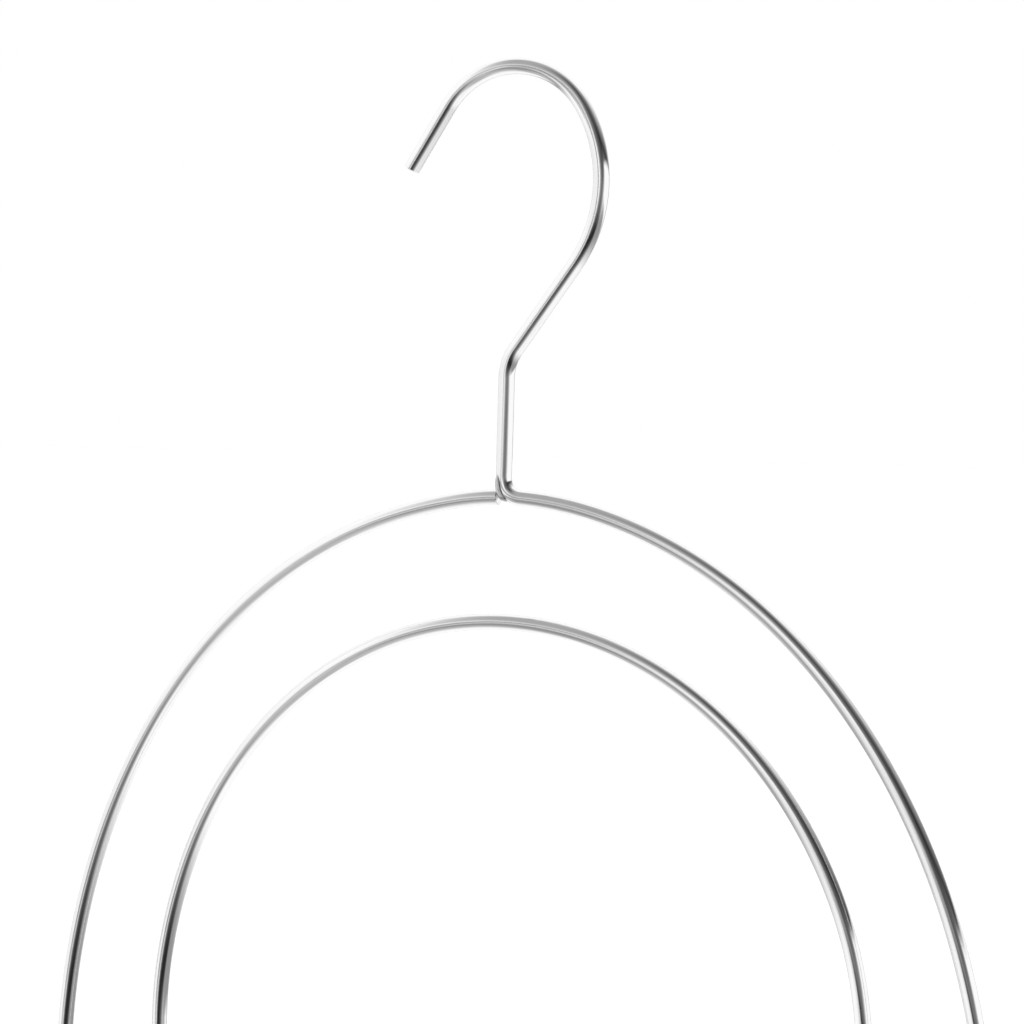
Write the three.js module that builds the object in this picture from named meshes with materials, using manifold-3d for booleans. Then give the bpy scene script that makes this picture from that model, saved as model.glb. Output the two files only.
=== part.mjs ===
// Cap display hanger in millimetres, +Z up, seen from the front along +Y with +X to the right.
// One round chrome-plated wire makes all of it: a hook for a garment rail, a stem, and a horseshoe frame.
// The frame's outer arch turns in at two feet and comes back as the inner arch, which goes inside the cap.
// The wire's far end is welded to the outside of the neck bend.
import * as THREE from "three";
import { mergeVertices } from "three/addons/utils/BufferGeometryUtils.js";
import Module from "manifold-3d";

// Wire
const WIRE_DIAMETER = 4;

// Frame, measured between centrelines
const INNER_HALF_WIDTH = 96.5;
const INNER_RISE = 108.4;
const INNER_LEG = 21.8;
const LEG_GAP = 30.1;
const CROWN_GAP = 30.4;

// Neck and hook, in the order in which the wire climbs from the frame
const NECK_BEND_RADIUS = 4.5;
const STEM_HEIGHT = 30.6;
const STEM_LEAN = 1.3;
const SHANK_BEND_RADIUS = 12.7;
const SHANK_BEND_ANGLE = 35.4;
const SHANK_LENGTH = 25.7;
const SIDE_RADIUS = 35.4;
const SIDE_ANGLE = 66.5;
const CROWN_RADIUS = 21.4;
const CROWN_ANGLE = 117.2;
const TIP_LENGTH = 18;

// Weld between the end of the left arch and the neck bend
const WELD_ROOT = 0.4;
const WELD_LENGTH = 3.4;
const WELD_BEAD = 0.15;
const WELD_CLEARANCE = 0.05;

// Fineness of the faceted surfaces
const WIRE_SIDES = 16;
const WELD_SIDES = 24;
const CHORD_ERROR = 0.1;

const wireRadius = WIRE_DIAMETER / 2;
const outerHalfWidth = INNER_HALF_WIDTH + LEG_GAP;
const outerRise = CROWN_GAP + INNER_RISE + INNER_LEG;
const footRadius = LEG_GAP / 2;
const footLevel = -outerRise;
const innerSpring = -CROWN_GAP - INNER_RISE;
const lean = THREE.MathUtils.degToRad(STEM_LEAN);

const wasm = await Module();
wasm.setup();

const chrome = new THREE.MeshStandardMaterial({ color: 0xd6d8db, metalness: 1, roughness: 0.08 });
const weldMetal = new THREE.MeshStandardMaterial({ color: 0xa9aaac, metalness: 1, roughness: 0.3 });

const hanger = new THREE.Group();
hanger.name = "cap_display_hanger";

// A path drawn in the hanger's plane, as a curve in space.
class PlaneCurve extends THREE.Curve {
  constructor(path) {
    super();
    this.path = path;
  }

  getPoint(t, target = new THREE.Vector3()) {
    const point = this.path.getPoint(t);
    return target.set(point.x, 0, point.y);
  }
}

// Draws a path the way a bending machine forms wire: straight feeds, and bends that turn left or right.
class WireBender {
  constructor(start, heading) {
    this.path = new THREE.Path().moveTo(start.x, start.y);
    this.position = start.clone();
    this.heading = heading;
  }

  feed(length) {
    const step = new THREE.Vector2(Math.cos(this.heading), Math.sin(this.heading));
    this.position.addScaledVector(step, length);
    this.path.lineTo(this.position.x, this.position.y);
    return this;
  }

  // A positive angle turns left. The radius is that of the centreline.
  bend(radius, degrees) {
    const turn = THREE.MathUtils.degToRad(degrees);
    const side = Math.sign(turn);
    const fromCentre = this.heading - (side * Math.PI) / 2;
    const spoke = new THREE.Vector2(Math.cos(fromCentre), Math.sin(fromCentre));
    this.centre = this.position.clone().addScaledVector(spoke, -radius);
    this.path.absarc(this.centre.x, this.centre.y, radius, fromCentre, fromCentre + turn, side < 0);
    this.heading += turn;
    const endSpoke = new THREE.Vector2(Math.cos(fromCentre + turn), Math.sin(fromCentre + turn));
    this.position.copy(this.centre).addScaledVector(endSpoke, radius);
    return this;
  }
}

function roundSection(radius, sides) {
  const corners = [];
  for (let i = 0; i < sides; i++) {
    const angle = (2 * Math.PI * i) / sides;
    corners.push(new THREE.Vector2(radius * Math.cos(angle), radius * Math.sin(angle)));
  }
  return new THREE.Shape(corners);
}

// Sweeps the round wire along a path, in steps that hold the chord error on its tightest bend.
function sweepWire(path, tightestRadius, radius = wireRadius) {
  const longestStep = Math.sqrt(8 * tightestRadius * CHORD_ERROR);
  return new THREE.ExtrudeGeometry(roundSection(radius, WIRE_SIDES), {
    steps: Math.ceil(path.getLength() / longestStep),
    extrudePath: new PlaneCurve(path),
    bevelEnabled: false,
  });
}

function addPiece(name, geometry, material) {
  const mesh = new THREE.Mesh(geometry, material);
  mesh.name = name;
  hanger.add(mesh);
}

function toSolid(geometry) {
  const bare = geometry.clone();
  bare.deleteAttribute("normal");
  bare.deleteAttribute("uv");
  const merged = mergeVertices(bare, 1e-4);
  return new wasm.Manifold(
    new wasm.Mesh({
      numProp: 3,
      vertProperties: merged.attributes.position.array,
      triVerts: new Uint32Array(merged.index.array),
    }),
  );
}

function toGeometry(solid) {
  const { vertProperties, triVerts } = solid.getMesh();
  const geometry = new THREE.BufferGeometry();
  geometry.setAttribute("position", new THREE.BufferAttribute(vertProperties, 3));
  geometry.setIndex(new THREE.BufferAttribute(triVerts, 1));
  geometry.computeVertexNormals();
  return geometry;
}

// Outer arch: half an ellipse with its top at the neck. The angle runs from the top to the right.
function outerPoint(angle) {
  return new THREE.Vector2(outerHalfWidth * Math.sin(angle), outerRise * (Math.cos(angle) - 1));
}

function outerNormal(angle) {
  return new THREE.Vector2(outerRise * Math.sin(angle), outerHalfWidth * Math.cos(angle)).normalize();
}

const outerTightest = Math.min(outerHalfWidth ** 2 / outerRise, outerRise ** 2 / outerHalfWidth);
const innerTightest = Math.min(INNER_HALF_WIDTH ** 2 / INNER_RISE, INNER_RISE ** 2 / INNER_HALF_WIDTH);

// Neck bend: one arc that touches the leaning stem and the right half of the outer arch.
const stemUp = new THREE.Vector2(Math.sin(lean), Math.cos(lean));
const stemRight = new THREE.Vector2(Math.cos(lean), -Math.sin(lean));
const neckCentre = new THREE.Vector2();
let neckAngle = 0;
for (let pass = 0; pass < 40; pass++) {
  neckCentre.copy(outerPoint(neckAngle)).addScaledVector(outerNormal(neckAngle), NECK_BEND_RADIUS);
  neckAngle += (NECK_BEND_RADIUS - neckCentre.dot(stemRight)) / outerHalfWidth;
}

// Stem, from the foot of the shank bend down to the neck bend and round it.
const stemTop = stemUp.clone().multiplyScalar(STEM_HEIGHT);
const neckStart = neckCentre.clone().addScaledVector(stemRight, -NECK_BEND_RADIUS);
const neckEnd = outerPoint(neckAngle);
const stemPath = new THREE.Path().moveTo(stemTop.x, stemTop.y).lineTo(neckStart.x, neckStart.y);
stemPath.absarc(
  neckCentre.x,
  neckCentre.y,
  NECK_BEND_RADIUS,
  neckStart.clone().sub(neckCentre).angle(),
  neckEnd.clone().sub(neckCentre).angle(),
);
addPiece("neck_stem", sweepWire(stemPath, NECK_BEND_RADIUS), chrome);

// Hook, from the top of the stem up the shank, round the side and crown, and down to the cut tip.
const hookBender = new WireBender(stemTop, Math.PI / 2 - lean)
  .bend(SHANK_BEND_RADIUS, -SHANK_BEND_ANGLE)
  .feed(SHANK_LENGTH)
  .bend(SIDE_RADIUS, SIDE_ANGLE)
  .bend(CROWN_RADIUS, CROWN_ANGLE);
const crownCentre = hookBender.centre.clone();
hookBender.feed(TIP_LENGTH);
const hookTightest = Math.min(SHANK_BEND_RADIUS, CROWN_RADIUS);
addPiece("hook", sweepWire(hookBender.path, hookTightest), chrome);

// Right half of the outer arch, from the neck bend down to the widest point.
const rightPath = new THREE.Path();
rightPath.absellipse(0, footLevel, outerHalfWidth, outerRise, Math.PI / 2 - neckAngle, 0, true);
addPiece("outer_arch_right", sweepWire(rightPath, outerTightest), chrome);

// Left half of the outer arch, from its end beside the neck down to the widest point.
const leftEndAngle = Math.asin((wireRadius + WELD_ROOT) / outerHalfWidth);
const leftPath = new THREE.Path();
leftPath.absellipse(0, footLevel, outerHalfWidth, outerRise, Math.PI / 2 + leftEndAngle, Math.PI, false);
const leftArch = sweepWire(leftPath, outerTightest);
addPiece("outer_arch_left", leftArch, chrome);

// Feet: half turns that join the outer arch to the legs of the inner arch.
const footCentre = INNER_HALF_WIDTH + footRadius;
for (const [name, x] of [["foot_right", footCentre], ["foot_left", -footCentre]]) {
  const footPath = new THREE.Path();
  footPath.absarc(x, footLevel, footRadius, 0, -Math.PI, true);
  addPiece(name, sweepWire(footPath, footRadius), chrome);
}

// Inner arch: half an ellipse on two straight legs.
const innerPath = new THREE.Path().moveTo(INNER_HALF_WIDTH, footLevel).lineTo(INNER_HALF_WIDTH, innerSpring);
innerPath.absellipse(0, innerSpring, INNER_HALF_WIDTH, INNER_RISE, 0, Math.PI, false);
innerPath.lineTo(-INNER_HALF_WIDTH, footLevel);
addPiece("inner_arch", sweepWire(innerPath, innerTightest), chrome);

// Weld: a low bead from the end of the left half, coped to the outside of the neck bend.
const leftEnd = outerPoint(-leftEndAngle);
const leftTangent = outerNormal(-leftEndAngle).rotateAround(new THREE.Vector2(), -Math.PI / 2);
const beadProfile = [
  new THREE.Vector2(0, WELD_CLEARANCE),
  new THREE.Vector2(wireRadius, WELD_CLEARANCE),
  new THREE.Vector2(wireRadius + WELD_BEAD, WELD_LENGTH / 3),
  new THREE.Vector2(wireRadius, (WELD_LENGTH * 2) / 3),
  new THREE.Vector2(wireRadius / 2, WELD_LENGTH),
  new THREE.Vector2(0, WELD_LENGTH),
];
const bead = new THREE.LatheGeometry(beadProfile, WELD_SIDES)
  .rotateZ(leftTangent.angle() - Math.PI / 2)
  .translate(leftEnd.x, leftEnd.y, 0)
  .rotateX(Math.PI / 2);
const neckCutter = sweepWire(stemPath, NECK_BEND_RADIUS, wireRadius + WELD_CLEARANCE);
addPiece("neck_weld", toGeometry(toSolid(bead).subtract(toSolid(neckCutter))), weldMetal);

// The origin is where the rail bears: the inside of the hook under the top of its crown.
hanger.position.set(-crownCentre.x, 0, wireRadius - crownCentre.y - CROWN_RADIUS);

export default hanger;
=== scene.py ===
"""Cap display hanger of chrome-plated wire, in metres, seen from the front along +Y with +X to the right.

One round wire is bent in the plane Y = 0: a hook, a stem, and an outer arch that turns in at two feet and
comes back as the inner arch. The wire's far end is welded to the outside of the neck bend.
"""

import math
from typing import NamedTuple

import bpy
from mathutils import Matrix, Vector, noise


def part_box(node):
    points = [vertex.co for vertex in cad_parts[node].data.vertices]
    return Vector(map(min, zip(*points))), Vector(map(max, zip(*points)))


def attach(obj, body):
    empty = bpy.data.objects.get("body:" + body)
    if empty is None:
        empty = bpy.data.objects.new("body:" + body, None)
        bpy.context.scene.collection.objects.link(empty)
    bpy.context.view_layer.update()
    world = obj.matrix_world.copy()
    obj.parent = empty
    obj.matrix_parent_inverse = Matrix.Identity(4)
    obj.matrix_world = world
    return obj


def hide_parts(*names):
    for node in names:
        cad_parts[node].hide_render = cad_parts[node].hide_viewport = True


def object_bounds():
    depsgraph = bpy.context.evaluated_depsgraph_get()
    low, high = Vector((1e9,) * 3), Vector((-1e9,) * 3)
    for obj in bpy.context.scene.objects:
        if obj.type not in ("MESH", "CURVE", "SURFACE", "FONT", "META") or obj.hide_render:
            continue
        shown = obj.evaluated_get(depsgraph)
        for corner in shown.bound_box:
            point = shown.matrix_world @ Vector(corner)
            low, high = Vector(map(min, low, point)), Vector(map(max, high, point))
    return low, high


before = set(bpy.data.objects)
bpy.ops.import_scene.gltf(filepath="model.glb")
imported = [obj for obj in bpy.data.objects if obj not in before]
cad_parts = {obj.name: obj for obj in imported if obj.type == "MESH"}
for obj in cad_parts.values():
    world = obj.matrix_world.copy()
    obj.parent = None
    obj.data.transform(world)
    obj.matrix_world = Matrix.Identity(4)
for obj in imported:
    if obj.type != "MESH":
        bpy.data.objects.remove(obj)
cad_low, cad_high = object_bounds()

# Frame of the hanger, between centrelines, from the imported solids
inner_low, inner_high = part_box("inner_arch")
WIRE_RADIUS = (inner_high.y - inner_low.y) / 2
AXIS_X = (inner_low.x + inner_high.x) / 2
FOOT_LEVEL = inner_low.z
INNER_TOP = inner_high.z - WIRE_RADIUS
INNER_HALF_WIDTH = (inner_high.x - inner_low.x) / 2 - WIRE_RADIUS
OUTER_HALF_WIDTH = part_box("foot_right")[1].x - AXIS_X - WIRE_RADIUS
OUTER_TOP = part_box("outer_arch_left")[1].z - WIRE_RADIUS

# Straight legs of the inner arch, and their sideways sway, eased in over a height above the feet
INNER_LEG = 0.0218
LEG_SWAY = -0.0013
LEG_SWAY_HEIGHT = 0.065

# Neck and hook, in the order in which the wire climbs from the frame
NECK_BEND_RADIUS = 0.0063
NECK_LIFT = 0.0008
NECK_LIFT_REACH_LEFT = 0.017
NECK_LIFT_REACH_RIGHT = 0.03
STEM_HEIGHT = 0.0306
STEM_LEAN = math.radians(1.3)
SHANK_BEND_RADIUS = 0.0127
SHANK_BEND_ANGLE = math.radians(35.4)
SHANK_LENGTH = 0.0257
SIDE_RADIUS = 0.0354
SIDE_ANGLE = math.radians(66.5)
CROWN_RADIUS = 0.0214
CROWN_ANGLE = math.radians(117.2)
TIP_LENGTH = 0.0185
CUT_EDGE_RADIUS = 0.0003

# Flattening of the wire's section where it is bent, as a share of wire radius over bend radius
BEND_FLATTENING = 0.08
FLATTENING_REACH = 0.004

# Where the left half ends beside the neck, and the weld there. The front bead's course is measured from the
# arch's top: down the stem, over the corner and under the bend. A blunter bead has fuller ends.
LEFT_END = -0.0012
WELD_TOP = (-0.0007, -0.00125, 0.0062)
WELD_CORNER = (-0.001, -0.0011, -0.0004)
WELD_TAIL = (0.0019, -0.0005, -0.0003)
WELD_RADIUS = 0.00115
WELD_BLUNTNESS = 3
WELD_LUMPS = 0.00005
WELD_LUMP_SIZE = 0.0011

# Fineness of the surfaces
WIRE_SIDES = 48
RING_STEP = 0.001
RING_TURN = math.radians(2)
CUT_EDGE_RINGS = 6
WELD_RINGS = 48
NECK_SOLVE_STEPS = 40
TEXTURE_NAME = "along_wire"

# Chrome on the wire: uneven polish, tone, drawing lines and orange peel
NOISE_SPREAD = (0.3, 0.7)
POLISH_ROUGHNESS = (0.08, 0.12)
POLISH_SCALE = 90
POLISH_DETAIL = 3
CHROME_TONES = (0.95, 0.98)
CHROME_TONE_SCALE = 35
CHROME_TONE_DETAIL = 2
BRUSHING = 1.0
LINE_STRETCH = (4000, 30, 1)
LINE_SCALE = 1
LINE_DETAIL = 2
LINE_STRENGTH = 0.02
LINE_DEPTH = 0.00002
PEEL_SCALE = 700
PEEL_DETAIL = 1
PEEL_STRENGTH = 0.03
PEEL_DEPTH = 0.00008

# Chrome on the weld: duller, over fine lumps, and darker, partly as the weld's own plating and partly as
# painted shade of the crease where the bead lies between the stem and the left arch
WELD_TONES_WITH_PAINTED_SHADE = (0.5, 0.75)
WELD_ROUGHNESS = (0.2, 0.35)
WELD_GRAIN_SPREAD = (0, 1)
WELD_GRAIN_SCALE = 1100
WELD_GRAIN_DETAIL = 1.5
WELD_GRAIN_STRENGTH = 0.15
WELD_GRAIN_DEPTH = 0.0001

# Camera
CAMERA_DISTANCE = 0.828
CAMERA_AZIMUTH = math.radians(23.0)
CAMERA_ELEVATION = math.radians(3.0)
CAMERA_ROLL = math.radians(0.4)
LENS_MM = 116.44
SENSOR_MM = 36
IMAGE_SIZE = 1024
NECK_PIXEL = (503.3, 500.5)

# Stage
FLOOR_DROP = 0.07
FLOOR_SIZE = 12.0
FLOOR_TONE = 0.9
FLOOR_ROUGHNESS = 1.0
LAMP_STRENGTH = 2.4
LAMP_WIDTH = math.radians(10)
LAMP_AZIMUTH = math.radians(-150)
LAMP_ELEVATION = math.radians(55)


def neck_reach(x):
    """How far the weld's pull reaches along the arch on this side of the neck."""
    return NECK_LIFT_REACH_LEFT if x < AXIS_X else NECK_LIFT_REACH_RIGHT


def neck_nearness(x):
    """1 at the neck, falling smoothly to 0 beyond the reach of the weld's pull."""
    return math.exp(-(((x - AXIS_X) / neck_reach(x)) ** 2))


def neck_slope(x):
    """How steeply the nearness rises towards +X."""
    return -2 * (x - AXIS_X) / neck_reach(x) ** 2 * neck_nearness(x)


class WirePath:
    """Stations along a centreline in the XZ plane: x, z, heading, and the bend radius's inverse."""

    def __init__(self, x, z, heading):
        self.x, self.z, self.heading = x, z, heading
        self.stations = [(x, z, heading, 0.0)]

    def add(self, x, z, heading, curvature):
        self.x, self.z, self.heading = x, z, heading
        self.stations.append((x, z, heading, curvature))

    def feed(self, length):
        start_x, start_z = self.x, self.z
        steps = math.ceil(length / RING_STEP)
        for step in range(1, steps + 1):
            reach = length * step / steps
            x = start_x + reach * math.cos(self.heading)
            z = start_z + reach * math.sin(self.heading)
            self.add(x, z, self.heading, 0.0)
        return self

    def bend(self, radius, angle):
        """A positive angle turns left. The radius is that of the centreline."""
        side = math.copysign(1, angle)
        first = self.heading
        centre_x = self.x - side * radius * math.sin(first)
        centre_z = self.z + side * radius * math.cos(first)
        steps = math.ceil(abs(angle) * radius / min(RING_STEP, RING_TURN * radius))
        for step in range(1, steps + 1):
            heading = first + angle * step / steps
            x = centre_x + side * radius * math.sin(heading)
            z = centre_z - side * radius * math.cos(heading)
            self.add(x, z, heading, side / radius)
        return self

    def soft_bend(self, radius, angle):
        """A bend that tightens gradually to its middle, between the ends of an even one of this radius."""
        steps = math.ceil(abs(angle) / RING_TURN)
        turns = [angle * (1 - math.cos(math.pi * step / steps)) / 2 for step in range(steps + 1)]
        course = [Vector((0.0, 0.0))]
        for before, after in zip(turns, turns[1:]):
            middle = self.heading + (before + after) / 2
            course.append(course[-1] + Vector((math.cos(middle), math.sin(middle))))
        step_length = 2 * radius * math.sin(abs(angle) / 2) / course[-1].length
        first, start = self.heading, Vector((self.x, self.z))
        for step in range(1, steps + 1):
            place = start + course[step] * step_length
            curvature = (turns[step] - turns[step - 1]) / step_length
            self.add(place.x, place.y, first + turns[step], curvature)
        return self

    def arch(self, half_width, rise, first, last, lift=0.0):
        """Part of an ellipse about AXIS_X, drawn up at the neck by lift. The angle is 0 at its top."""
        top = self.z + rise * (1 - math.cos(first)) - lift * neck_nearness(self.x)
        steps = math.ceil(abs(last - first) * max(half_width, rise) / RING_STEP)
        way = math.copysign(1, last - first)
        for step in range(1, steps + 1):
            angle = first + (last - first) * step / steps
            x = AXIS_X + half_width * math.sin(angle)
            z = top - rise * (1 - math.cos(angle)) + lift * neck_nearness(x)
            run_x, run_z = way * half_width * math.cos(angle), -way * rise * math.sin(angle)
            curvature = -way * half_width * rise / math.hypot(run_x, run_z) ** 3
            run_z += lift * neck_slope(x) * run_x
            self.add(x, z, math.atan2(run_z, run_x), curvature)
        return self

    def backwards(self):
        """The same stations from the far end, with the headings turned round."""
        return [(x, z, heading + math.pi, -bend) for x, z, heading, bend in reversed(self.stations)]


# Rises of the two half ellipses, and the mean radius of the feet that join them
outer_rise = OUTER_TOP - FOOT_LEVEL
inner_rise = INNER_TOP - FOOT_LEVEL - INNER_LEG
foot_radius = (OUTER_HALF_WIDTH - INNER_HALF_WIDTH) / 2


def outer_point(angle):
    """A place on the outer arch's centreline. The angle is 0 at its top and grows to the right."""
    x = AXIS_X + OUTER_HALF_WIDTH * math.sin(angle)
    return Vector((x, OUTER_TOP - outer_rise * (1 - math.cos(angle)) + NECK_LIFT * neck_nearness(x)))


def outer_normal(angle):
    """The outer arch's upward normal at that place."""
    run = OUTER_HALF_WIDTH * math.cos(angle)
    slope = NECK_LIFT * neck_slope(AXIS_X + OUTER_HALF_WIDTH * math.sin(angle))
    return Vector((outer_rise * math.sin(angle) - slope * run, run)).normalized()


# Neck bend: it runs between the places where one arc touches the leaning stem and the outer arch
neck = Vector((AXIS_X, OUTER_TOP))
stem_up = Vector((math.sin(STEM_LEAN), math.cos(STEM_LEAN)))
stem_right = Vector((math.cos(STEM_LEAN), -math.sin(STEM_LEAN)))
neck_angle = 0.0
for _ in range(NECK_SOLVE_STEPS):
    neck_centre = outer_point(neck_angle) + NECK_BEND_RADIUS * outer_normal(neck_angle)
    neck_angle += (NECK_BEND_RADIUS - (neck_centre - neck).dot(stem_right)) / OUTER_HALF_WIDTH
neck_start = neck_centre - NECK_BEND_RADIUS * stem_right
neck_end = outer_point(neck_angle)
neck_top = outer_point(0)
stem_top = neck + STEM_HEIGHT * stem_up


def swayed(stations):
    """The inner arch's stations with its legs drawn aside towards the feet, along a smooth step."""
    drawn = []
    for x, z, heading, curvature in stations:
        depth = min(max(1 - (z - FOOT_LEVEL) / LEG_SWAY_HEIGHT, 0), 1)
        lean = -LEG_SWAY / LEG_SWAY_HEIGHT * 6 * depth * (1 - depth)
        run_x = math.cos(heading) + lean * math.sin(heading)
        x += LEG_SWAY * depth**2 * (3 - 2 * depth)
        drawn.append((x, z, math.atan2(math.sin(heading), run_x), curvature))
    return drawn


def signed_turn(first, last):
    """The shorter turn from one heading to another."""
    return (last - first + math.pi) % (2 * math.pi) - math.pi


def wire_runs():
    """The wire's runs in order from the cut tip, as lists of stations that share their end stations."""
    up = math.pi / 2 - STEM_LEAN
    hook = WirePath(stem_top.x, stem_top.y, up)
    hook.bend(SHANK_BEND_RADIUS, -SHANK_BEND_ANGLE).feed(SHANK_LENGTH)
    hook.bend(SIDE_RADIUS, SIDE_ANGLE).bend(CROWN_RADIUS, CROWN_ANGLE).feed(TIP_LENGTH)
    stem = WirePath(stem_top.x, stem_top.y, up - math.pi)
    stem.feed((stem_top - neck_start).length)
    arch_heading = math.atan2(-outer_normal(neck_angle).x, outer_normal(neck_angle).y)
    stem.soft_bend(NECK_BEND_RADIUS, signed_turn(stem.heading, arch_heading))
    right = WirePath(neck_end.x, neck_end.y, arch_heading)
    right.arch(OUTER_HALF_WIDTH, outer_rise, neck_angle, math.pi / 2, NECK_LIFT)
    foot_right = WirePath(right.x, right.z, -math.pi / 2).bend(foot_radius - LEG_SWAY / 2, -math.pi)
    inner = WirePath(foot_right.x - LEG_SWAY, foot_right.z, math.pi / 2).feed(INNER_LEG)
    inner.arch(INNER_HALF_WIDTH, inner_rise, math.pi / 2, -math.pi / 2).feed(INNER_LEG)
    foot_left = WirePath(inner.x + LEG_SWAY, inner.z, -math.pi / 2)
    foot_left.bend(foot_radius + LEG_SWAY / 2, -math.pi)
    left = WirePath(foot_left.x, foot_left.z, math.pi / 2)
    left.arch(OUTER_HALF_WIDTH, outer_rise, -math.pi / 2, math.asin(LEFT_END / OUTER_HALF_WIDTH), NECK_LIFT)
    return {
        "hook": hook.backwards(),
        "neck_stem": stem.stations,
        "outer_arch_right": right.stations,
        "foot_right": foot_right.stations,
        "inner_arch": swayed(inner.stations),
        "foot_left": foot_left.stations,
        "outer_arch_left": left.stations,
    }


def lengths_along(runs):
    """For each run, the wire's length from the cut tip to each of its stations."""
    along, reached = {}, 0.0
    for name, stations in runs.items():
        marks = [reached]
        for before, after in zip(stations, stations[1:]):
            marks.append(marks[-1] + math.hypot(after[0] - before[0], after[1] - before[1]))
        along[name], reached = marks, marks[-1]
    return along


def bends_along(runs, marks):
    """For each step along the wire, the length at which it ends, its curvature and its own length."""
    bends = []
    for name, stations in runs.items():
        for index in range(1, len(stations)):
            step = marks[name][index] - marks[name][index - 1]
            bends.append((marks[name][index], stations[index][3], step))
    return bends


def flattening_at(mark, bends):
    """How far the section is flattened at a length along the wire, eased over the reach of a bend."""
    total = weight = 0.0
    for place, curvature, length in bends:
        nearness = 1 - abs(place - mark) / FLATTENING_REACH
        if nearness > 0:
            total += nearness * length * abs(curvature)
            weight += nearness * length
    return BEND_FLATTENING * WIRE_RADIUS * total / weight if weight else 0.0


def section(station, radius_in, radius_out):
    """Places and outward normals round one ring of the wire, from the back round to the back again."""
    x, z, heading = station[:3]
    inward = Vector((-math.sin(heading), 0, math.cos(heading)))
    front = Vector((0, -1, 0))
    ring = []
    for side in range(WIRE_SIDES):
        turn = 2 * math.pi * side / WIRE_SIDES - math.pi / 2
        across, forward = math.cos(turn), math.sin(turn)
        place = Vector((x, 0, z)) + inward * radius_in * across + front * radius_out * forward
        normal = inward * across / radius_in + front * forward / radius_out
        ring.append((place, normal.normalized()))
    return ring


class Surface:
    """Vertices, faces, and a normal and a texture place for each corner of a face."""

    def __init__(self):
        self.places, self.faces, self.normals, self.texture = [], [], [], []

    def add_ring(self, places):
        first = len(self.places)
        self.places += places
        return range(first, first + len(places))

    def add_face(self, corners, normals, texture):
        self.faces.append(corners)
        self.normals += normals
        self.texture += texture

    def add_band(self, before, after):
        """Quads between two rings, each of (indices, normals, length along the wire)."""
        count = len(before[0])
        girth = 2 * math.pi * WIRE_RADIUS
        for side in range(count):
            following = (side + 1) % count
            corners = ((before, side, side), (before, following, side + 1))
            corners += ((after, following, side + 1), (after, side, side))
            self.add_face(
                [ring[0][index] for ring, index, _ in corners],
                [ring[1][index] for ring, index, _ in corners],
                [(girth * step / count, ring[2]) for ring, _, step in corners],
            )

    def add_cap(self, ring, normal, mark, turned):
        corners = list(reversed(ring)) if turned else list(ring)
        middle = sum((self.places[corner] for corner in corners), Vector()) / len(corners)
        inward = normal.cross(Vector((0, 1, 0)))
        offsets = [self.places[corner] - middle for corner in corners]
        texture = [(offset.y, mark + offset.dot(inward)) for offset in offsets]
        self.add_face(corners, [normal] * len(corners), texture)

    def to_object(self, name, material):
        mesh = bpy.data.meshes.new(name)
        mesh.from_pydata(self.places, [], self.faces)
        mesh.polygons.foreach_set("use_smooth", [True] * len(self.faces))
        layer = mesh.uv_layers.new(name=TEXTURE_NAME)
        for corner, place in zip(layer.data, self.texture):
            corner.uv = place
        mesh.normals_split_custom_set(self.normals)
        mesh.materials.append(material)
        piece = bpy.data.objects.new(name, mesh)
        bpy.context.scene.collection.objects.link(piece)
        return piece


def heading_vector(station):
    """The way in which the wire runs at a station."""
    return Vector((math.cos(station[2]), 0, math.sin(station[2])))


def cut_end(surface, station, mark, way):
    """Rings of a cut end, from its flat face to the full section. It faces along the wire if way is 1."""
    out = way * heading_vector(station)
    rings = []
    for step in range(CUT_EDGE_RINGS + 1):
        turn = math.pi / 2 * step / CUT_EDGE_RINGS
        radius = WIRE_RADIUS - CUT_EDGE_RADIUS * (1 - math.sin(turn))
        inset = CUT_EDGE_RADIUS * (1 - math.cos(turn))
        ring = section(station, radius, radius)
        places = [place - out * inset for place, _ in ring]
        normals = [(normal * math.sin(turn) + out * math.cos(turn)).normalized() for _, normal in ring]
        rings.append((surface.add_ring(places), normals, mark - way * inset))
    return rings


def make_run(name, stations, marks, bends, material, cut_first=False, cut_last=False):
    """One run of the wire as a closed piece, with a rounded edge where its first or last end is a cut."""
    surface = Surface()
    rings = cut_end(surface, stations[0], marks[0], -1) if cut_first else []
    plain = slice(1 if cut_first else 0, -1 if cut_last else None)
    for station, mark in zip(stations[plain], marks[plain]):
        flattening = flattening_at(mark, bends)
        ring = section(station, WIRE_RADIUS * (1 - flattening), WIRE_RADIUS * (1 + flattening))
        rings.append((surface.add_ring([place for place, _ in ring]), [normal for _, normal in ring], mark))
    if cut_last:
        rings += reversed(cut_end(surface, stations[-1], marks[-1], 1))
    surface.add_cap(rings[0][0], -heading_vector(stations[0]), marks[0], turned=True)
    for before, after in zip(rings, rings[1:]):
        surface.add_band(before, after)
    surface.add_cap(rings[-1][0], heading_vector(stations[-1]), marks[-1], turned=False)
    return surface.to_object(name, material)


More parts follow.
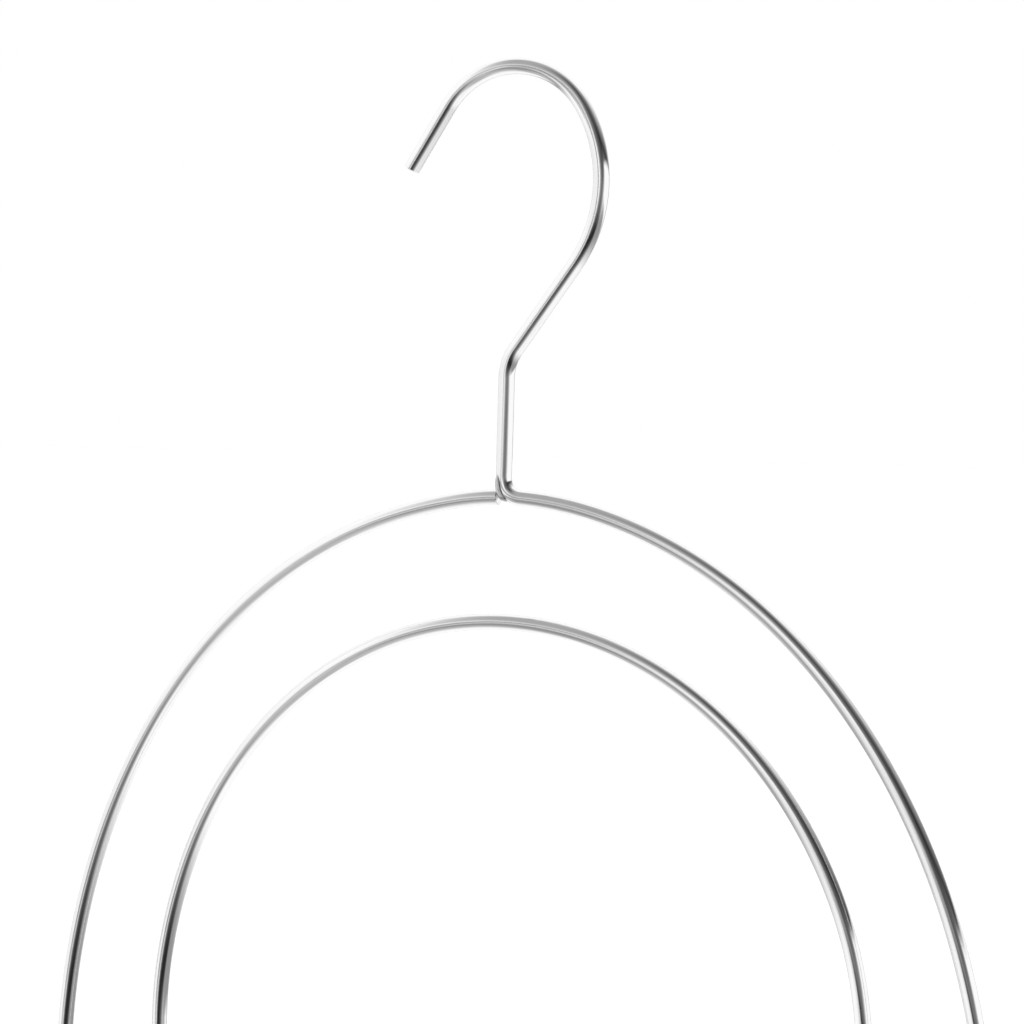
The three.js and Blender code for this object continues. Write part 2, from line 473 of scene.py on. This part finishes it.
def add_bead(surface, way):
    """A lumpy, round-ended bead from the stem to under the neck bend, on the front if way is 1."""
    rings = []
    origin = Vector((neck_top.x, 0, neck_top.y))
    course = ((x, way * y, z) for x, y, z in (WELD_TOP, WELD_CORNER, WELD_TAIL))
    top, corner, tail = (origin + Vector(place) for place in course)
    for step in range(WELD_RINGS + 1):
        share = (1 - math.cos(math.pi * (step + 1) / (WELD_RINGS + 2))) / 2
        middle = top * (1 - share) ** 2 + corner * 2 * share * (1 - share) + tail * share**2
        run = (corner - top) * (1 - share) + (tail - corner) * share
        run_length = math.hypot(run.x, run.z)
        tangent = Vector((run.x, 0, run.z)) / run_length
        side = 2 * share - 1
        fullness = math.sqrt(1 - abs(side) ** WELD_BLUNTNESS)
        radius = WELD_RADIUS * fullness
        steepness = WELD_BLUNTNESS / 2 * side * abs(side) ** (WELD_BLUNTNESS - 2) / fullness
        slope = -WELD_RADIUS * steepness / run_length
        places, normals = [], []
        for place, outward in section((middle.x, middle.z, math.atan2(run.z, run.x)), radius, radius):
            place = place + Vector((0, middle.y, 0))
            places.append(place + outward * WELD_LUMPS * fullness * noise.noise(place / WELD_LUMP_SIZE))
            normals.append((outward - tangent * slope).normalized())
        rings.append((surface.add_ring(places), normals, share))
    surface.add_cap(rings[0][0], (top - corner).normalized(), 0.0, turned=True)
    for before, after in zip(rings, rings[1:]):
        surface.add_band(before, after)
    surface.add_cap(rings[-1][0], (tail - corner).normalized(), 1.0, turned=False)


def make_weld(material):
    """The weld as one piece, with a bead on the front and one on the back."""
    surface = Surface()
    add_bead(surface, 1)
    add_bead(surface, -1)
    return surface.to_object("neck_weld_bead", material)


def new_material(name):
    material = bpy.data.materials.new(name)
    material.use_nodes = True
    return material


class MetalNodes:
    """A metal's node tree, with short ways to add the textures that it is made of."""

    def __init__(self, name):
        self.material = new_material(name)
        self.nodes = self.material.node_tree.nodes
        self.links = self.material.node_tree.links
        self.shader = self.nodes["Principled BSDF"]
        self.shader.inputs["Metallic"].default_value = 1.0
        self.place = self.nodes.new("ShaderNodeTexCoord")

    def connect(self, socket, source):
        self.links.new(source, self.shader.inputs[socket])

    def noise(self, source, scale, detail):
        texture = self.nodes.new("ShaderNodeTexNoise")
        texture.inputs["Scale"].default_value = scale
        texture.inputs["Detail"].default_value = detail
        self.links.new(source, texture.inputs["Vector"])
        return texture.outputs["Fac"]

    def stretched(self, source, scale):
        mapping = self.nodes.new("ShaderNodeMapping")
        mapping.inputs["Scale"].default_value = scale
        self.links.new(source, mapping.inputs["Vector"])
        return mapping.outputs["Vector"]

    def ranged(self, source, spread, target):
        mapped = self.nodes.new("ShaderNodeMapRange")
        for socket, limit in zip(("From Min", "From Max", "To Min", "To Max"), spread + target):
            mapped.inputs[socket].default_value = limit
        self.links.new(source, mapped.inputs["Value"])
        return mapped.outputs["Result"]

    def greys(self, source, tones):
        ramp = self.nodes.new("ShaderNodeValToRGB")
        for stop, tone in zip(ramp.color_ramp.elements, tones):
            stop.color = (tone, tone, tone, 1)
        self.links.new(source, ramp.inputs["Fac"])
        return ramp.outputs["Color"]

    def bump(self, height, strength, depth, over=None):
        raised = self.nodes.new("ShaderNodeBump")
        raised.inputs["Strength"].default_value = strength
        raised.inputs["Distance"].default_value = depth
        self.links.new(height, raised.inputs["Height"])
        if over is not None:
            self.links.new(over, raised.inputs["Normal"])
        return raised.outputs["Normal"]


def chrome_material():
    """Bright chrome over drawn wire: faint drawing lines, a slight orange peel and uneven polish."""
    metal = MetalNodes("chrome_wire")
    place = metal.place.outputs["Object"]
    polish = metal.noise(place, POLISH_SCALE, POLISH_DETAIL)
    metal.connect("Roughness", metal.ranged(polish, NOISE_SPREAD, POLISH_ROUGHNESS))
    metal.shader.inputs["Anisotropic"].default_value = BRUSHING
    around = metal.nodes.new("ShaderNodeTangent")
    around.direction_type = "UV_MAP"
    around.uv_map = TEXTURE_NAME
    metal.connect("Tangent", around.outputs["Tangent"])
    tone = metal.noise(place, CHROME_TONE_SCALE, CHROME_TONE_DETAIL)
    metal.connect("Base Color", metal.greys(tone, CHROME_TONES))
    along = metal.stretched(metal.place.outputs["UV"], LINE_STRETCH)
    lines = metal.bump(metal.noise(along, LINE_SCALE, LINE_DETAIL), LINE_STRENGTH, LINE_DEPTH)
    peel = metal.noise(place, PEEL_SCALE, PEEL_DETAIL)
    metal.connect("Normal", metal.bump(peel, PEEL_STRENGTH, PEEL_DEPTH, over=lines))
    return metal.material


def weld_material_with_painted_shade():
    """Chrome over an unpolished weld: duller, lumpy and a little darker than the wire. The darkness is
    partly the weld's own plating and partly painted shade of the crease at the joint.
    """
    metal = MetalNodes("plated_weld")
    grain = metal.noise(metal.place.outputs["Object"], WELD_GRAIN_SCALE, WELD_GRAIN_DETAIL)
    # These darker greys are partly painted shade of the crease between the stem and the left arch, not only
    # the weld's own tone
    metal.connect("Base Color", metal.greys(grain, WELD_TONES_WITH_PAINTED_SHADE))
    metal.connect("Roughness", metal.ranged(grain, WELD_GRAIN_SPREAD, WELD_ROUGHNESS))
    metal.connect("Normal", metal.bump(grain, WELD_GRAIN_STRENGTH, WELD_GRAIN_DEPTH))
    return metal.material


class Card(NamedTuple):
    """A flat card far off in the studio, by the direction of its middle and its roll in degrees.

    Azimuth 0 is the front and 90 the right. Half sizes and soft edges are shares of the card's distance.
    """

    azimuth: float
    elevation: float
    roll: float
    half_width: float
    half_height: float
    soft_sides: float
    soft_ends: float
    tone: float


# The white studio that the wire mirrors, with its cards in the order in which they are hung
WHITE = 1.0
OFF_WHITE = 0.9
PALE_GREY = 0.4
GREY = 0.3
BLACK = 0.02
CARDS = {
    "ceiling": Card(25, 55, -20, 1.2, 1.0, 1.0, 1.0, PALE_GREY),
    "dark_wall": Card(40, 30, 5, 0.4, 0.8, 1.2, 1.0, BLACK),
    "dark_rim": Card(115, 12, -20, 1.8, 0.45, 0.1, 1.1, BLACK),
    "right_table": Card(115, -20, 15, 1.2, 0.3, 0.5, 0.5, GREY),
    "right_window": Card(115, -2, -5, 1.2, 0.22, 0.8, 0.1, WHITE),
    "front_gap": Card(25, -18, -15, 0.75, 0.3, 0.4, 0.6, BLACK),
    "left_edge": Card(-90, -33, -5, 3.0, 0.05, 1.0, 0.5, BLACK),
    "front_table": Card(-10, -45, 30, 1.5, 0.1, 1.0, 1.2, BLACK),
    "left_table": Card(-33, -33, 30, 0.3, 0.18, 0.1, 0.1, GREY),
    "camera": Card(-12, 6, 15, 0.3, 0.08, 0.1, 0.25, BLACK),
    "left_stand": Card(-34, -8, 0, 0.2, 0.08, 0.1, 0.1, GREY),
    "left_wall": Card(-90, 0, 10, 1.6, 0.2, 1.0, 0.2, OFF_WHITE),
    "front_window": Card(-7, 4, 5, 0.18, 0.13, 0.1, 0.25, WHITE),
    "tripod": Card(20, 10, -30, 0.3, 0.06, 0.1, 0.4, BLACK),
    "near_table": Card(15, -65, -10, 0.2, 0.3, 0.5, 0.5, PALE_GREY),
    "back_wall": Card(-157, -3, 0, 0.35, 0.2, 0.15, 0.15, BLACK),
}


def studio_world():
    """White to the camera. To the wire, a white studio with grey and dark cards."""
    world = bpy.data.worlds.new("studio")
    bpy.context.scene.world = world
    world.use_nodes = True
    nodes, links = world.node_tree.nodes, world.node_tree.links
    nodes.clear()
    place = nodes.new("ShaderNodeTexCoord")

    def math_node(operation, first, second=None):
        node = nodes.new("ShaderNodeMath")
        node.operation = operation
        for socket, value in zip(node.inputs, (first, second)):
            if value is not None:
                links.new(value, socket)
        return node.outputs["Value"]

    def along(axis):
        product = nodes.new("ShaderNodeVectorMath")
        product.operation = "DOT_PRODUCT"
        product.inputs[1].default_value = axis
        links.new(place.outputs["Generated"], product.inputs[0])
        return product.outputs["Value"]

    def within(aside, half, soft):
        ease = nodes.new("ShaderNodeMapRange")
        ease.interpolation_type = "SMOOTHSTEP"
        ease.inputs["From Min"].default_value = half + soft / 2
        ease.inputs["From Max"].default_value = half - soft / 2
        links.new(math_node("ABSOLUTE", aside), ease.inputs["Value"])
        return ease.outputs["Result"]

    seen = None
    for name, card in CARDS.items():
        turn = Matrix.Rotation(math.radians(card.azimuth), 3, "Z")
        turn = turn @ Matrix.Rotation(math.radians(-card.elevation), 3, "X")
        turn = turn @ Matrix.Rotation(math.radians(-card.roll), 3, "Y")
        facing = along(turn @ Vector((0, -1, 0)))
        across = math_node("DIVIDE", along(turn @ Vector((1, 0, 0))), facing)
        up = math_node("DIVIDE", along(turn @ Vector((0, 0, 1))), facing)
        share = math_node(
            "MULTIPLY",
            within(across, card.half_width, card.soft_sides),
            within(up, card.half_height, card.soft_ends),
        )
        ahead = nodes.new("ShaderNodeMath")
        ahead.operation = "GREATER_THAN"
        ahead.inputs[1].default_value = 0.0
        links.new(facing, ahead.inputs[0])
        laid = nodes.new("ShaderNodeMix")
        laid.name = name
        laid.data_type = "FLOAT"
        laid.inputs["A"].default_value = WHITE
        if seen is not None:
            links.new(seen, laid.inputs["A"])
        laid.inputs["B"].default_value = card.tone
        links.new(math_node("MULTIPLY", share, ahead.outputs["Value"]), laid.inputs["Factor"])
        seen = laid.outputs["Result"]
    studio = nodes.new("ShaderNodeBackground")
    links.new(seen, studio.inputs["Color"])
    backdrop = nodes.new("ShaderNodeBackground")
    backdrop.inputs["Color"].default_value = (1, 1, 1, 1)
    rays = nodes.new("ShaderNodeLightPath")
    choice = nodes.new("ShaderNodeMixShader")
    links.new(rays.outputs["Is Camera Ray"], choice.inputs["Fac"])
    links.new(studio.outputs["Background"], choice.inputs[1])
    links.new(backdrop.outputs["Background"], choice.inputs[2])
    output = nodes.new("ShaderNodeOutputWorld")
    links.new(choice.outputs["Shader"], output.inputs["Surface"])


def make_floor():
    """A plain pale floor under the hanger, lit to white, that keeps the hanger's shadow."""
    half = FLOOR_SIZE / 2
    level = cad_low.z - FLOOR_DROP
    corners = [(-half, -half, level), (half, -half, level), (half, half, level), (-half, half, level)]
    mesh = bpy.data.meshes.new("floor")
    mesh.from_pydata(corners, [], [(0, 1, 2, 3)])
    material = new_material("pale_floor")
    shader = material.node_tree.nodes["Principled BSDF"]
    shader.inputs["Base Color"].default_value = (FLOOR_TONE, FLOOR_TONE, FLOOR_TONE, 1)
    shader.inputs["Roughness"].default_value = FLOOR_ROUGHNESS
    mesh.materials.append(material)
    floor = bpy.data.objects.new("floor", mesh)
    bpy.context.scene.collection.objects.link(floor)
    floor.visible_glossy = False


def make_lamp():
    """A soft, even lamp from behind, above and to the left, so that the shadow falls towards the front."""
    light = bpy.data.lights.new("soft_lamp", "SUN")
    light.energy = LAMP_STRENGTH
    light.angle = LAMP_WIDTH
    lamp = bpy.data.objects.new("soft_lamp", light)
    turn = Matrix.Rotation(LAMP_AZIMUTH, 3, "Z") @ Matrix.Rotation(math.pi / 2 - LAMP_ELEVATION, 3, "X")
    lamp.rotation_euler = turn.to_euler()
    lamp.visible_glossy = False
    bpy.context.scene.collection.objects.link(lamp)


def make_camera():
    """Stands in front, to the right and a little above, and looks at the neck."""
    turn = Matrix.Rotation(CAMERA_AZIMUTH, 3, "Z") @ Matrix.Rotation(math.pi / 2 - CAMERA_ELEVATION, 3, "X")
    turn = turn @ Matrix.Rotation(CAMERA_ROLL, 3, "Z")
    data = bpy.data.cameras.new("camera")
    data.lens = LENS_MM
    data.sensor_width = SENSOR_MM
    data.shift_x = (IMAGE_SIZE / 2 - NECK_PIXEL[0]) / IMAGE_SIZE
    data.shift_y = (NECK_PIXEL[1] - IMAGE_SIZE / 2) / IMAGE_SIZE
    camera = bpy.data.objects.new("camera", data)
    aim = Vector((AXIS_X, 0, OUTER_TOP))
    camera.matrix_world = Matrix.Translation(aim + turn @ Vector((0, 0, CAMERA_DISTANCE))) @ turn.to_4x4()
    bpy.context.scene.collection.objects.link(camera)
    bpy.context.scene.camera = camera


make_camera()
studio_world()
make_floor()
make_lamp()

chrome = chrome_material()
runs = wire_runs()
marks = lengths_along(runs)
bends = bends_along(runs, marks)
for run_name, run_stations in runs.items():
    piece = make_run(
        run_name + "_wire",
        run_stations,
        marks[run_name],
        bends,
        chrome,
        cut_first=run_name == "hook",
        cut_last=run_name == "outer_arch_left",
    )
    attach(piece, "root")
    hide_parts(run_name)
weld = make_weld(weld_material_with_painted_shade())
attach(weld, "root")
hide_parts("neck_weld")

bpy.context.scene.view_settings.view_transform = "Standard"
